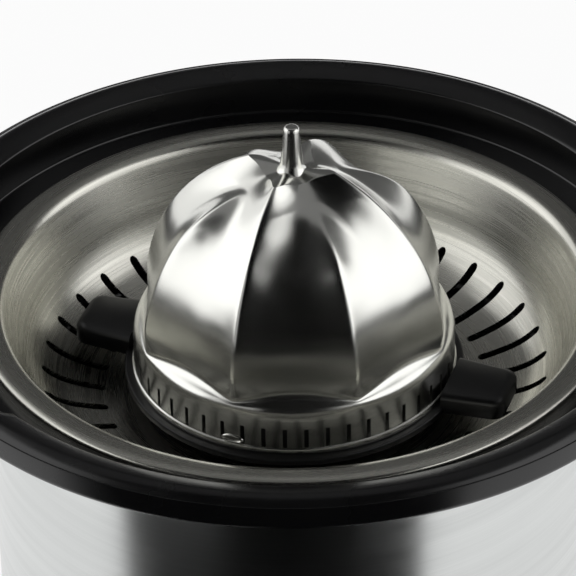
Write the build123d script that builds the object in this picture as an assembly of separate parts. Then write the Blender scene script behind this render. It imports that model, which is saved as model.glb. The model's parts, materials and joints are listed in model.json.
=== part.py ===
from build123d import *
import os
from math import acos, cos, pi, radians, sin, sqrt, tan

# Citrus juicer, millimetres. The origin is on the table under the spindle, +Z is up and the spout is at -Y.

# Clearances
FIT = 0.05          # pieces that are fixed in each other
RUN = 0.05          # shafts in their bushes, on the radius
LOOSE = 0.3         # pieces that pass or lift off each other
PAST = 1.0          # cutters and roots run this far past a face

# Base and sleeve
FOOT_R = 8.0
FOOT_H = 5.0
FOOT_SINK = 2.0
FOOT_INSET = 12.0   # middle of a foot inside the sleeve
FOOT_EDGE = 1.0
BASE_FLOOR = 3.0
BASE_FLANGE = 1.5   # stands out beyond the sleeve
BASE_FLANGE_H = 8.0
BASE_SPIGOT_H = 9.0
BASE_WALL = 2.5
BASE_EDGE = 1.0
SLEEVE_R = 72.0     # drives the rim, bowl, strainer, pillars and feet
SLEEVE_WALL = 1.0
PILLAR_R = 6.0
PILLAR_INSET = 12.6  # middle of a pillar inside the sleeve
TIE_R = 2.0
TIE_HEAD_R = 3.8
TIE_HEAD_H = 3.0
TIE_GRIP = 20.0     # length of tie screw in the deck's posts
TIE_SINK = 1.0      # heads above the base's underside
TIE_SLOT = 1.0
VENT_COUNT = 12
VENT_WIDTH = 4.0
VENT_IN = 22.0
VENT_OUT = 42.0
GLAND_R = 5.4
GLAND_BORE = 3.5
GLAND_FLANGE = 3.0
GLAND_Z = 34.0
GLAND_LENGTH = 10.0
GLAND_LAP = 3.0     # flange beyond the barrel
GLAND_RING = 2.0    # lock ring beyond the barrel

# Motor
FAN_GAP = 12.0
FAN_BAR_GAP = 4.0   # fan to the lower bearing bar
FAN_R = 25.0
FAN_H = 8.0
FAN_DISC = 1.5
FAN_BLADES = 10
FAN_HUB_R = 5.0
FAN_RAKE = 20.0
FAN_EDGE = 3.0
FAN_BLADE_T = 1.2
STACK_H = 24.0
STACK_HALF = 30.0
STACK_FRONT = 22.0
STACK_BACK = 50.0
STACK_EDGE = 4.0
LEG_DEPTH = 10.0
WINDOW_DEPTH = 18.0
WINDOW_HALF = 20.0
COIL_HALF = 16.0
COIL_BUILD = 7.0
COIL_ROUND = 4.9
COIL_CHEEK = 1.5
COIL_LAP = 1.0      # cheeks beyond the winding
ROTOR_R = 12.6
END_RING = 4.0
END_RING_STEP = 2.0
AIR_GAP = 0.4
SHAFT_R = 2.0
SHAFT_END = 1.0     # beyond the fan
BRACKET_T = 2.5
BRACKET_RISE = 13.5
BRACKET_WIDTH = 14.0
BRACKET_GAP = 4.0   # legs outside the rotor
BRACKET_INSET = 1.0
BUSH_R = 5.0
BUSH_H = 7.0
BOLT_X = 24.0
BOLT_R = 2.0
NUT_R = 3.6
NUT_H = 3.0

# Gears
MODULE = 1.0
PINION_TEETH = 12
WHEEL_TEETH = 48
PRESSURE_ANGLE = radians(25)
BACKLASH = 0.2
GEAR_W = 8.0
GEAR_GAP = 3.0
GEAR_STEP = 1.0     # a pinion's overlap at each side of its wheel
DEDENDUM = 1.25     # in modules
WEB_RIM = 4.0
WEB_DEPTH = 2.5
PLATE_T = 3.0
PLATE_GAP = 2.0     # upper bearing bar to the plate
PLATE_HOLE_R = 8.0
AIRWAY_R = 8.0
PLATE_EDGE = 5.0    # gear plate's edge to the sleeve
AXLE_R = 2.5
AXLE_BOSS = 2.5     # wall round the axle's upper end
BOSS_GAP = 4.0      # that boss above the output gear

# Thrust cap, spring and switch
PRESS = 2.0
BRIDGE_T = 3.0
BRIDGE_HALF = 40.0
BRIDGE_WIDTH = 18.0
BRIDGE_ROUND = 5.4
BRIDGE_POST_X = 34.0
BRIDGE_POST_R = 4.5
BRIDGE_SCREW_R = 1.5
BRIDGE_SCREW_HEAD = 2.0
BRIDGE_SCREW_SLOT = 0.8
POCKET_R = 6.3
POCKET_WALL = 2.2
POCKET_H = 8.0
CAP_T = 3.0
CAP_GAP = 1.0       # left under the cap when it is pressed
CAP_R = 9.0
CAP_SKIRT = 1.6
SPRING_R = 3.4
SPRING_WIRE = 0.8
SPRING_TURNS = 4.5
ARM_END = 24.0
ARM_WIDTH = 6.0
SWITCH_X0 = 17.0
SWITCH_X1 = 30.0
SWITCH_WIDTH = 6.4
BUTTON_X = 21.0
BUTTON_LENGTH = 4.0
BUTTON_WIDTH = 3.0
BUTTON_DEPTH = 3.0

# Spindle and tower
SPINDLE_R = 4.0
HEX_FLATS = 9.0
HEX_EDGE = 1.0
DECK_T = 3.0
DECK_GAP = 12.0     # output gear to deck
TOWER_R = 11.5
TOWER_FLARE = 2.0
TOWER_GAP = 1.0     # under the chimney's roof
SPINDLE_BUSH_R = 7.0
SPINDLE_BUSH_H = 10.0
SEAL_H = 4.0
CLIP_R = 6.5
CLIP_T = 1.2
CLIP_OPENING = 3.0
DECK_WALL = 1.6
LIP_T = 2.0

# Spout
DUCT_HALF = 12.0
DUCT_WALL = 2.5
DUCT_H = 12.8
DUCT_BACK = 38.0
DUCT_OUT = 8.0      # stands out of the sleeve
DUCT_FALL = 1.0
DRAIN_R = 6.0
DRAIN_WALL = 2.0
DRAIN_Y = -50.0
DRAIN_DROP = 6.0
GASKET_T = 0.6
GASKET_W = 2.6
GASKET_EASE = 0.1
SPOUT_WALL = 1.8
SPOUT_REACH = 10.5
SPOUT_TIP_HALF = 8.0
SPOUT_FALL = 3.5
SPOUT_RISE = 13.0
SPOUT_STEP = 0.5    # trough above the duct's underside
SPOUT_LIP = 1.5
PIN_R = 1.6
PIN_BACK = 3.0      # hinge pins behind the duct's mouth
EAR_R = 4.5

# Bowl
BOWL_WALL = 2.2
BOWL_FLOOR = 2.5
RIM_OVERHANG = 21.0  # beyond the sleeve
RIM_TOP = 6.4       # above the strainer's rim
RIM_FACE = 5.2
RIM_WIDTH = 9.1
RIM_BAND = 4.7
RIM_STEP = 0.5
RIM_FALL = 0.7      # slope of the rim's inner band
RIM_FLARE = 8.0     # run of the rim's sloping underside
RIM_FLARE_H = 5.0
LEDGE_DROP = 3.0
LEDGE_LAP = 3.5     # ledge under the strainer's edge
LEDGE_FLARE = 9.0
SHOULDER_DROP = 12.0
SHOULDER_LAP = 1.0  # bowl's shoulder beyond the sleeve
BOWL_ROUND = 4.0
RIM_ROUND = 1.0
CHIMNEY_R = 13.0
CHIMNEY_WALL = 2.0
CHIMNEY_DROP = 16.0
CHIMNEY_LIP = 6.0   # roof of the chimney, in from its bore
NOTCH_AZIMUTH = -141.0
NOTCH_WIDTH = 7.0
NOTCH_DEPTH = 1.8

# Strainer
STRAINER_LAP = 3.0  # beyond the sleeve
STRAINER_SHEET = 0.8
STRAINER_RIM = 6.6  # flat of its rim
STRAINER_WALL = 8.1  # run of its sloping wall
STRAINER_FALL = 16.3  # run of its sloping, slotted floor
STRAINER_DEPTH = 27.5
STRAINER_SLOPE = 5.5
STRAINER_BEND = 9.0
STRAINER_EDGE = 1.0
STRAINER_HOLE_R = 16.5
STRAINER_COLLAR = 8.0
JUICE_GAP = 7.7
SLOT_COUNT = 36
SLOT_WIDTH = 2.2
SLOT_MARGIN = 1.0   # slots inside the sloping floor

# Reamer
RIBS = 8            # tall and low in turn
CREST_R = 37.6
CREST_H = 45.5
CREST_BULGE = (1.7, 2.1)  # powers of radius and height, 2 and 2 would be an ellipse
FLOOR_R = 34.2
FLOOR_H = 43.0
FLOOR_BULGE = (1.3, 2.6)
LOW_RIB_FADE = 28.0  # height where the low ribs start to sink into the valley
LOW_RIB_END = 38.6
RIB_EDGE = 1.0
RIB_PHASE = -112.5
RIB_LEVELS = 9      # outlines that the cone is lofted through
CONE_TOP = 43.4     # before the crown is dished
CONE_TOP_R = 5.0    # least radius of a valley there
CROWN_H = 41.9
CROWN_R = 16.0
CROWN_RISE = 2.2
FOOT_DROP = 8.2     # foot of the ribs below the strainer's rim
FOOT_LEDGE = 1.4
FOOT_EASE = 0.3
SKIRT_H = 11.6
SKIRT_R = 37.8
SKIRT_WALL = 1.6
SKIRT_LIP = 0.5
SKIRT_LIP_H = 1.6
SKIRT_SLOTS = 48
SKIRT_SLOT_W = 1.0
SKIRT_SLOT_H = 5.2
SKIRT_SLOT_DROP = 4.8
CAVITY_H = 34.0
CONE_WALL = 2.6
CENTRE_PIN_R = 2.5
CENTRE_PIN_TIP = 1.75
CENTRE_PIN_H = 11.0
PIN_ROUND = 1.0
TENON_R = 1.8

# Carrier with its paddles
CARRIER_T = 3.0
CARRIER_RING = 2.2
CARRIER_RING_H = 1.8
HUB_R = 9.0
HUB_H = 26.0
HUB_TOP = 2.0
HUB_TAPER = 1.0
HUB_DROP = 1.0
CARRIER_WALL = 2.0
PADDLE_AZIMUTH = -19.0
PADDLE_GAP = 7.3    # paddle's end to the foot of the strainer's wall
PADDLE_ROOT_W = 17.0
PADDLE_END_W = 15.0
PADDLE_H = 5.4
PADDLE_ROUND = 3.0

# Levels, from the table up
base_z = FOOT_H - FOOT_SINK
floor_z = base_z + BASE_FLOOR
sleeve_z = base_z + BASE_FLANGE_H
fan_z = floor_z + FAN_GAP
low_bar_z = fan_z + FAN_H + FAN_BAR_GAP
stack_z = low_bar_z + BRACKET_T + BRACKET_RISE
stack_top = stack_z + STACK_H
high_bar_z = stack_top + BRACKET_RISE
plate_z = high_bar_z + BRACKET_T + PLATE_GAP
plate_top = plate_z + PLATE_T
wheel_z = plate_top + GEAR_GAP + GEAR_STEP
pinion_top = wheel_z + GEAR_W + GEAR_STEP
bridge_z = pinion_top + GEAR_GAP
bridge_top = bridge_z + BRIDGE_T
pocket_top = bridge_top + POCKET_H
cap_z = pocket_top + PRESS + CAP_GAP
spindle_z = cap_z + CAP_T
output_z = spindle_z + PRESS + GEAR_GAP
output_top = output_z + GEAR_W
deck_z = output_top + DECK_GAP
deck_top = deck_z + DECK_T
duct_top = deck_top + DUCT_H
bowl_z = duct_top + GASKET_T + GASKET_EASE
bowl_floor_z = bowl_z + BOWL_FLOOR
rim_z = bowl_floor_z + JUICE_GAP + STRAINER_SHEET + STRAINER_DEPTH
shoulder_z = rim_z - SHOULDER_DROP
sleeve_top = shoulder_z - LIP_T
chimney_top = rim_z - CHIMNEY_DROP
tower_top = chimney_top - BOWL_WALL - TOWER_GAP
foot_z = rim_z - FOOT_DROP
hub_z = foot_z - CARRIER_T - HUB_DROP
hub_top = hub_z + HUB_H
spindle_top = hub_top - HUB_TOP - RUN

# Places that several pieces share
sleeve_in = SLEEVE_R - SLEEVE_WALL
deck_r = sleeve_in - FIT
bowl_r = deck_r - DECK_WALL - LOOSE
gear_pitch = MODULE * (PINION_TEETH + WHEEL_TEETH) / 2
pillar_offset = (SLEEVE_R - PILLAR_INSET) / sqrt(2)
pillars = [(sx * pillar_offset, sy * pillar_offset) for sx in (-1, 1) for sy in (-1, 1)]
foot_pitch_r = SLEEVE_R - FOOT_INSET
feet = [(foot_pitch_r, 0), (0, foot_pitch_r), (-foot_pitch_r, 0), (0, -foot_pitch_r)]
duct_front = -(SLEEVE_R + DUCT_OUT)
pin_y = duct_front + PIN_BACK
pin_z = deck_top + DUCT_H / 2
rim_r = SLEEVE_R + RIM_OVERHANG
rim_inner_r = rim_r - RIM_WIDTH
strainer_r = SLEEVE_R + STRAINER_LAP
strainer_rim_in = strainer_r - STRAINER_RIM
strainer_floor_r = strainer_rim_in - STRAINER_WALL
strainer_flat_r = strainer_floor_r - STRAINER_FALL
paddle_end = strainer_floor_r - PADDLE_GAP
crown_z = foot_z + CROWN_H


def rod(r, z0, z1, x=0, y=0):
    return Pos(x, y, z0) * Cylinder(r, z1 - z0, align=(Align.CENTER, Align.CENTER, Align.MIN))


def tube(r_out, r_in, z0, z1, x=0, y=0):
    return rod(r_out, z0, z1, x, y) - rod(r_in, z0, z1, x, y)


def cross_rod(r, x0, x1, y, z):
    return Pos((x0 + x1) / 2, y, z) * Rot(0, 90, 0) * Cylinder(r, x1 - x0)


def block(x0, x1, y0, y1, z0, z1):
    return Pos((x0 + x1) / 2, (y0 + y1) / 2, (z0 + z1) / 2) * Box(x1 - x0, y1 - y0, z1 - z0)


def lathe(*points):
    return revolve(Plane.XZ * make_face(Polyline(*points, close=True)), Axis.Z)


# Turned solid with rounded corners, from (radius, height, rounding) points
def soft_lathe(*points):
    face = make_face(Polyline(*[(r, z) for r, z, rounding in points], close=True))
    for r, z, rounding in points:
        if rounding:
            face = fillet(face.vertices().sort_by_distance((r, z, 0))[0], rounding)
    return revolve(Plane.XZ * face, Axis.Z)


# Lower face of a sheet whose upper face follows the same kind of points, from its far end back
def under_sheet(points, thickness):
    under = []
    for i, (r, z, rounding) in enumerate(points):
        runs = [Vector(b[0] - a[0], b[1] - a[1]).normalized()
                for a, b in zip(points[max(i - 1, 0):], points[max(i - 1, 0) + 1:i + 2])]
        first, last = runs[0], runs[-1]
        share = thickness / (1 + first.dot(last))
        bend = first.X * last.Y - first.Y * last.X
        under.append((r - (first.Y + last.Y) * share, z + (first.X + last.X) * share,
                      max(0, rounding + thickness * (bend < 0) - thickness * (bend > 0)) if rounding else 0))
    return under[::-1]


def prism(outline, z0, z1):
    return Pos(0, 0, z0) * extrude(make_face(Polyline(*outline, close=True)), z1 - z0)


def side_prism(outline, half_width):
    face = Plane.YZ * make_face(Polyline(*outline, close=True))
    return extrude(face, half_width, both=True)


def turned(solid, angles):
    return [Rot(0, 0, a) * solid for a in angles]


def group(solids):
    return Compound(children=list(solids))


# Gear blank with involute flanks drawn through a few points; a tooth stands at the given angle
def gear(teeth, z0, z1, bore, tooth_angle=0.0):
    pitch_r = MODULE * teeth / 2
    base_r = pitch_r * cos(PRESSURE_ANGLE)
    root_r = pitch_r - DEDENDUM * MODULE
    tip_r = pitch_r + MODULE
    radii = [root_r] + [base_r] * (base_r > root_r) + [pitch_r, tip_r]

    def half_tooth(r):
        slope = acos(min(1.0, base_r / r))
        half = pi / 2 / teeth - BACKLASH / 4 / pitch_r
        return half + tan(PRESSURE_ANGLE) - PRESSURE_ANGLE - tan(slope) + slope

    outline = []
    for k in range(teeth):
        middle = radians(tooth_angle) + 2 * pi * k / teeth
        rising = [(r, middle - half_tooth(r)) for r in radii]
        falling = [(r, middle + half_tooth(r)) for r in reversed(radii)]
        outline += [(r * cos(a), r * sin(a)) for r, a in rising + falling]
    return prism(outline, z0, z1) - rod(bore, z0, z1)


# Body


def make_sleeve():
    shell = tube(SLEEVE_R, sleeve_in, sleeve_z, sleeve_top)
    gland_hole = Pos(0, SLEEVE_R, GLAND_Z) * Rot(90, 0, 0) * Cylinder(GLAND_R + FIT, 4 * GLAND_FLANGE)
    return shell - spout_window(SLEEVE_R) - gland_hole


def spout_window(r):
    half = DUCT_HALF + FIT
    return block(-half, half, -r - PAST, -r / 2, deck_top - FIT, duct_top + FIT)


def make_bottom_cover():
    spigot_r = sleeve_in - FIT
    flange_r = SLEEVE_R + BASE_FLANGE
    cover = lathe(
        (0, base_z), (flange_r - BASE_EDGE, base_z), (flange_r, base_z + BASE_EDGE),
        (flange_r, sleeve_z - BASE_EDGE), (flange_r - BASE_EDGE, sleeve_z), (spigot_r, sleeve_z),
        (spigot_r, sleeve_z + BASE_SPIGOT_H), (spigot_r - BASE_WALL, sleeve_z + BASE_SPIGOT_H),
        (spigot_r - BASE_WALL, floor_z), (0, floor_z))
    cover += [rod(PILLAR_R, floor_z - PAST, plate_z, x, y) for x, y in pillars]
    cover -= [rod(TIE_R + FIT, base_z, plate_z, x, y) for x, y in pillars]
    cover -= [rod(TIE_HEAD_R + LOOSE, base_z, base_z + TIE_SINK + TIE_HEAD_H, x, y) for x, y in pillars]
    cover -= [rod(FOOT_R, base_z, base_z + FOOT_SINK, x, y) for x, y in feet]
    half = VENT_WIDTH / 2
    vent = block(VENT_IN, VENT_OUT, -half, half, base_z - PAST, floor_z + PAST)
    return cover - turned(vent, [360 * (k + 0.5) / VENT_COUNT for k in range(VENT_COUNT)])


def make_feet():
    foot = lathe((0, 0), (FOOT_R - FOOT_EDGE, 0), (FOOT_R, FOOT_EDGE), (FOOT_R, FOOT_H), (0, FOOT_H))
    return group(Pos(x, y, 0) * foot for x, y in feet)


def make_tie_screws():
    head_z = base_z + TIE_SINK
    shank_top = plate_top + TIE_GRIP
    screw = rod(TIE_HEAD_R, head_z, head_z + TIE_HEAD_H) + rod(TIE_R, head_z, shank_top)
    slot_half = TIE_SLOT / 2
    screw -= block(-TIE_HEAD_R, TIE_HEAD_R, -slot_half, slot_half, head_z - PAST, head_z + TIE_HEAD_H / 2)
    return group(Pos(x, y, 0) * screw for x, y in pillars)


def make_gland():
    along_back = Pos(0, SLEEVE_R + FIT, GLAND_Z) * Rot(-90, 0, 0)
    barrel = rod(GLAND_R, -GLAND_LENGTH, GLAND_FLANGE)
    flange = lathe((0, 0), (GLAND_R + GLAND_LAP, 0), (GLAND_R + GLAND_LAP, GLAND_FLANGE / 3),
                   (GLAND_R + GLAND_LAP / 3, GLAND_FLANGE), (0, GLAND_FLANGE))
    lock_ring = rod(GLAND_R + GLAND_RING, -GLAND_LENGTH, GLAND_FLANGE - GLAND_LENGTH)
    bore = rod(GLAND_BORE, -GLAND_LENGTH - PAST, GLAND_FLANGE + PAST)
    return along_back * (barrel + flange + lock_ring - bore)


def make_top_deck():
    wall_in = deck_r - DECK_WALL
    lip_r = SLEEVE_R + FIT
    deck = lathe(
        (0, deck_z), (deck_r, deck_z), (deck_r, sleeve_top), (lip_r, sleeve_top), (lip_r, shoulder_z),
        (wall_in, shoulder_z), (wall_in, deck_top), (TOWER_R + TOWER_FLARE, deck_top),
        (TOWER_R, deck_top + 2 * TOWER_FLARE), (TOWER_R, tower_top), (0, tower_top))
    deck += [rod(PILLAR_R, plate_top, deck_z + PAST, x, y) for x, y in pillars]
    deck += rod(AXLE_R + AXLE_BOSS, output_top + BOSS_GAP, deck_z + PAST, 0, gear_pitch)
    deck -= rod(AXLE_R + FIT, output_top + BOSS_GAP - PAST, deck_z, 0, gear_pitch)
    deck -= [rod(TIE_R + FIT, plate_top, plate_top + TIE_GRIP + PAST, x, y) for x, y in pillars]
    deck -= rod(SPINDLE_BUSH_R + FIT, deck_z, tower_top)
    return deck - spout_window(deck_r)


# Juice outlet


def make_duct():
    hole_r = DRAIN_R + DRAIN_WALL + LOOSE
    inner_half = DUCT_HALF - DUCT_WALL
    duct = block(-DUCT_HALF, DUCT_HALF, duct_front, -DUCT_BACK, deck_top, duct_top)
    channel = side_prism(
        [(duct_front - PAST, deck_top + DUCT_WALL - DUCT_FALL),
         (-DUCT_BACK - DUCT_WALL, deck_top + DUCT_WALL), (-DUCT_BACK - DUCT_WALL, duct_top - DUCT_WALL),
         (duct_front - PAST, duct_top - DUCT_WALL)], inner_half)
    duct -= channel
    duct -= rod(hole_r, duct_top - 2 * DUCT_WALL, duct_top, 0, DRAIN_Y)
    return duct - cross_rod(PIN_R + FIT, -DUCT_HALF, DUCT_HALF, pin_y, pin_z)


def make_drain_gasket():
    r = DRAIN_R + DRAIN_WALL + LOOSE
    return tube(r + GASKET_W, r, duct_top, duct_top + GASKET_T, 0, DRAIN_Y)


def make_spout_pins():
    outer = DUCT_HALF + LOOSE + SPOUT_WALL
    inner = DUCT_HALF - DUCT_WALL
    return group(cross_rod(PIN_R, min(s * inner, s * outer), max(s * inner, s * outer), pin_y, pin_z)
                 for s in (-1, 1))


def make_drip_spout():
    half = DUCT_HALF + LOOSE + SPOUT_WALL
    back = duct_front - LOOSE
    tip = duct_front - SPOUT_REACH
    floor = deck_top + SPOUT_STEP
    low = floor - SPOUT_WALL
    swing_y = pin_y - sqrt(PIN_BACK ** 2 + (DUCT_H / 2) ** 2) - LOOSE

    def plan(inset, y_back):
        return [(inset - half, y_back), (half - inset, y_back), (half - inset, swing_y),
                (SPOUT_TIP_HALF - inset, tip - PAST), (inset - SPOUT_TIP_HALF, tip - PAST),
                (inset - half, swing_y)]

    rear = pin_y + EAR_R
    cheeks = side_prism(
        [(back, low), (tip, low - SPOUT_FALL), (tip - SPOUT_LIP / 2, low - SPOUT_FALL + SPOUT_LIP),
         (back - PAST, low + SPOUT_RISE),
         (pin_y, pin_z + EAR_R), (pin_y, pin_z - EAR_R)], half)
    ears = cross_rod(EAR_R, -half, half, pin_y, pin_z)
    body = (cheeks + ears) & prism(plan(0, rear + PAST), low - 2 * SPOUT_FALL, duct_top + SPOUT_RISE)
    trough = side_prism(
        [(back + PAST, floor), (back, floor), (tip - 2 * PAST, floor - SPOUT_FALL),
         (tip - 2 * PAST, floor + 2 * SPOUT_RISE), (back + PAST, floor + 2 * SPOUT_RISE)], half)
    trough &= prism(plan(SPOUT_WALL, rear), low - 2 * SPOUT_FALL, floor + 2 * SPOUT_RISE)
    inner_half = DUCT_HALF + LOOSE
    saddle = block(-inner_half, inner_half, back, rear + PAST, low - SPOUT_FALL, duct_top + SPOUT_RISE)
    return body - trough - saddle - cross_rod(PIN_R + RUN, -half, half, pin_y, pin_z)


# Motor


def make_stator():
    bore_r = ROTOR_R + AIR_GAP
    stack = block(-STACK_HALF, STACK_HALF, -STACK_FRONT, STACK_BACK, stack_z, stack_top)
    leg_front = STACK_BACK - LEG_DEPTH
    stack -= block(-WINDOW_HALF, WINDOW_HALF, leg_front - WINDOW_DEPTH, leg_front, stack_z, stack_top)
    stack -= rod(bore_r, stack_z, stack_top)
    stack -= [rod(BOLT_R + FIT, stack_z, stack_top, s * BOLT_X, 0) for s in (-1, 1)]
    corners = stack.edges().filter_by(Axis.Z).filter_by_position(Axis.Y, STACK_BACK - FIT, STACK_BACK + FIT)
    return chamfer(corners, STACK_EDGE)


def make_coil():
    leg_front = STACK_BACK - LEG_DEPTH
    winding = block(-COIL_HALF, COIL_HALF, leg_front - COIL_BUILD, STACK_BACK + COIL_BUILD,
                    stack_z - COIL_BUILD, stack_top + COIL_BUILD)
    winding = fillet(winding.edges().filter_by(Axis.X), COIL_ROUND)
    reach = COIL_BUILD + COIL_LAP
    cheek = block(COIL_HALF - COIL_CHEEK, COIL_HALF, leg_front - reach, STACK_BACK + reach, stack_z - reach,
                  stack_top + reach)
    opening = block(-COIL_HALF - PAST, COIL_HALF + PAST, leg_front - FIT, STACK_BACK + FIT, stack_z - FIT,
                    stack_top + FIT)
    return winding + cheek + mirror(cheek, Plane.YZ) - opening


# Bearing bridge over one end of the stack: flat feet, two legs and a bar with a bush seat
def make_bracket(face_z, up):
    half = BRACKET_WIDTH / 2
    leg = ROTOR_R + BRACKET_GAP
    foot_end = STACK_HALF - BRACKET_INSET
    z = sorted((face_z, face_z + up * BRACKET_T))
    feet_pads = block(-foot_end, foot_end, -half, half, *z)
    feet_pads -= block(-leg, leg, -half, half, *z)
    side = sorted((face_z, face_z + up * (BRACKET_RISE + BRACKET_T)))
    legs = [block(leg - BRACKET_T, leg, -half, half, *side), block(-leg, BRACKET_T - leg, -half, half, *side)]
    bar_z = sorted((face_z + up * BRACKET_RISE, face_z + up * (BRACKET_RISE + BRACKET_T)))
    bracket = block(-leg, leg, -half, half, *bar_z) + legs + feet_pads
    bracket -= [rod(BOLT_R + FIT, *z, s * BOLT_X, 0) for s in (-1, 1)]
    return bracket - rod(BUSH_R, *bar_z)


def make_motor_bushes():
    return group([
        tube(BUSH_R, SHAFT_R + RUN, low_bar_z, low_bar_z + BUSH_H),
        tube(BUSH_R, SHAFT_R + RUN, high_bar_z + BRACKET_T - BUSH_H, high_bar_z + BRACKET_T)])


def make_motor_bolts():
    head_top = stack_z - BRACKET_T
    bolt = rod(NUT_R, head_top - NUT_H, head_top) + rod(BOLT_R, head_top, plate_top + NUT_H)
    bolt += Pos(0, 0, plate_top) * extrude(RegularPolygon(NUT_R, 6), NUT_H)
    return group(Pos(s * BOLT_X, 0, 0) * bolt for s in (-1, 1))


def make_motor_spacers():
    spacer = tube(NUT_R, BOLT_R + FIT, stack_top + BRACKET_T, plate_z)
    return group(Pos(s * BOLT_X, 0, 0) * spacer for s in (-1, 1))


def make_rotor_core():
    core = rod(ROTOR_R, stack_z, stack_top)
    core += rod(ROTOR_R - END_RING_STEP, stack_z - END_RING, stack_top + END_RING)
    return core - rod(SHAFT_R, stack_z - END_RING, stack_top + END_RING)


def make_rotor_shaft():
    return rod(SHAFT_R, fan_z - SHAFT_END, pinion_top)


def make_fan():
    fan = rod(FAN_R, fan_z, fan_z + FAN_DISC) + rod(FAN_HUB_R, fan_z, fan_z + FAN_H)
    half = FAN_BLADE_T / 2
    blade = block(FAN_HUB_R - PAST, FAN_R - FAN_EDGE, -half, half, fan_z + FAN_DISC / 2, fan_z + FAN_H)
    fan += turned(blade, [FAN_RAKE + 360 * k / FAN_BLADES for k in range(FAN_BLADES)])
    return fan - rod(SHAFT_R, fan_z, fan_z + FAN_H)


# Gearing


def make_gear_plate():
    plate = rod(sleeve_in - PLATE_EDGE, plate_z, plate_top)
    plate -= rod(PLATE_HOLE_R, plate_z, plate_top)
    plate -= rod(AXLE_R, plate_z, plate_top, 0, gear_pitch)
    plate -= [rod(TIE_R + FIT, plate_z, plate_top, x, y) for x, y in pillars]
    plate -= [rod(BOLT_R + FIT, plate_z, plate_top, s * BOLT_X, 0) for s in (-1, 1)]
    airway = rod(AIRWAY_R, plate_z, plate_top, 0, -pillar_offset)
    return plate - turned(airway, (-30, 0, 30))


def make_idler_axle():
    return rod(AXLE_R, plate_z, deck_z - PAST, 0, gear_pitch)


def make_idler_gear():
    bore = AXLE_R + RUN
    hub_r = MODULE * (PINION_TEETH / 2 - DEDENDUM)
    rim_in = MODULE * WHEEL_TEETH / 2 - WEB_RIM
    small_z = output_z - PRESS - GEAR_STEP
    small_top = output_top + GEAR_STEP
    cluster = gear(WHEEL_TEETH, wheel_z, wheel_z + GEAR_W, bore, -90)
    cluster += tube(hub_r, bore, plate_top + LOOSE, small_z)
    cluster += gear(PINION_TEETH, small_z, small_top, bore, -90)
    cluster -= tube(rim_in, hub_r + WEB_RIM, wheel_z, wheel_z + WEB_DEPTH)
    return Pos(0, gear_pitch, 0) * cluster


def make_motor_pinion():
    return gear(PINION_TEETH, wheel_z - GEAR_STEP, pinion_top, SHAFT_R, 90 - 180 / PINION_TEETH)


def make_output_gear():
    wheel = gear(WHEEL_TEETH, output_z, output_top, SPINDLE_R, 90 - 180 / WHEEL_TEETH)
    rim_in = MODULE * WHEEL_TEETH / 2 - WEB_RIM
    return wheel - tube(rim_in, SPINDLE_R + WEB_RIM, output_top - WEB_DEPTH, output_top)


def make_spindle():
    dog_z = tower_top + PRESS + LOOSE
    shaft = rod(SPINDLE_R, spindle_z, dog_z + PAST)
    corner_r = HEX_FLATS / sqrt(3)
    dog = Pos(0, 0, dog_z) * extrude(RegularPolygon(corner_r, 6), spindle_top - dog_z)
    dog = chamfer(dog.faces().sort_by(Axis.Z)[-1].edges(), HEX_EDGE)
    return shaft + dog


def make_clip():
    clip_z = deck_z - LOOSE - CLIP_T
    ring = tube(CLIP_R, SPINDLE_R, clip_z, clip_z + CLIP_T)
    return ring - block(-CLIP_OPENING / 2, CLIP_OPENING / 2, 0, CLIP_R, clip_z, clip_z + CLIP_T)


def make_spindle_bushes():
    bush = tube(SPINDLE_BUSH_R, SPINDLE_R + RUN, 0, SPINDLE_BUSH_H)
    return group([Pos(0, 0, deck_z) * bush, Pos(0, 0, tower_top - SEAL_H - SPINDLE_BUSH_H) * bush])


def make_seal():
    return tube(SPINDLE_BUSH_R, SPINDLE_R + 2 * RUN, tower_top - SEAL_H, tower_top)


# Press start


def make_bridge():
    half = BRIDGE_WIDTH / 2
    bar = block(-BRIDGE_HALF, BRIDGE_HALF, -half, half, bridge_z, bridge_top)
    bar = fillet(bar.edges().filter_by(Axis.Z), BRIDGE_ROUND)
    bar += tube(POCKET_R + POCKET_WALL, POCKET_R, bridge_top, pocket_top)
    return bar - [rod(BRIDGE_SCREW_R + FIT, bridge_z, bridge_top, s * BRIDGE_POST_X, 0) for s in (-1, 1)]


def make_bridge_posts():
    post = tube(BRIDGE_POST_R, BRIDGE_SCREW_R + FIT, plate_top, bridge_z)
    return group(Pos(s * BRIDGE_POST_X, 0, 0) * post for s in (-1, 1))


def make_bridge_screws():
    head_r = 2 * BRIDGE_SCREW_R
    head_top = bridge_top + BRIDGE_SCREW_HEAD
    half = BRIDGE_SCREW_SLOT / 2
    screw = rod(BRIDGE_SCREW_R, plate_top + PAST, bridge_top) + rod(head_r, bridge_top, head_top)
    screw -= block(-head_r, head_r, -half, half, head_top - BRIDGE_SCREW_HEAD / 2, head_top)
    return group(Pos(s * BRIDGE_POST_X, 0, 0) * screw for s in (-1, 1))


def make_thrust_cap():
    skirt_r = POCKET_R - LOOSE
    cap = rod(CAP_R, cap_z, spindle_z)
    cap += tube(skirt_r, skirt_r - CAP_SKIRT, bridge_top + PRESS + CAP_GAP, cap_z + CAP_T / 2)
    return cap + block(0, ARM_END, -ARM_WIDTH / 2, ARM_WIDTH / 2, cap_z, spindle_z)


def make_spring():
    half_wire = SPRING_WIRE / 2
    height = cap_z - bridge_top - SPRING_WIRE - 2 * FIT
    coil = Helix(height / SPRING_TURNS, height, SPRING_R)
    section = Plane(origin=coil @ 0, z_dir=coil % 0) * Rectangle(SPRING_WIRE, SPRING_WIRE)
    return Pos(0, 0, bridge_top + half_wire + FIT) * sweep(section, path=coil)


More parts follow.
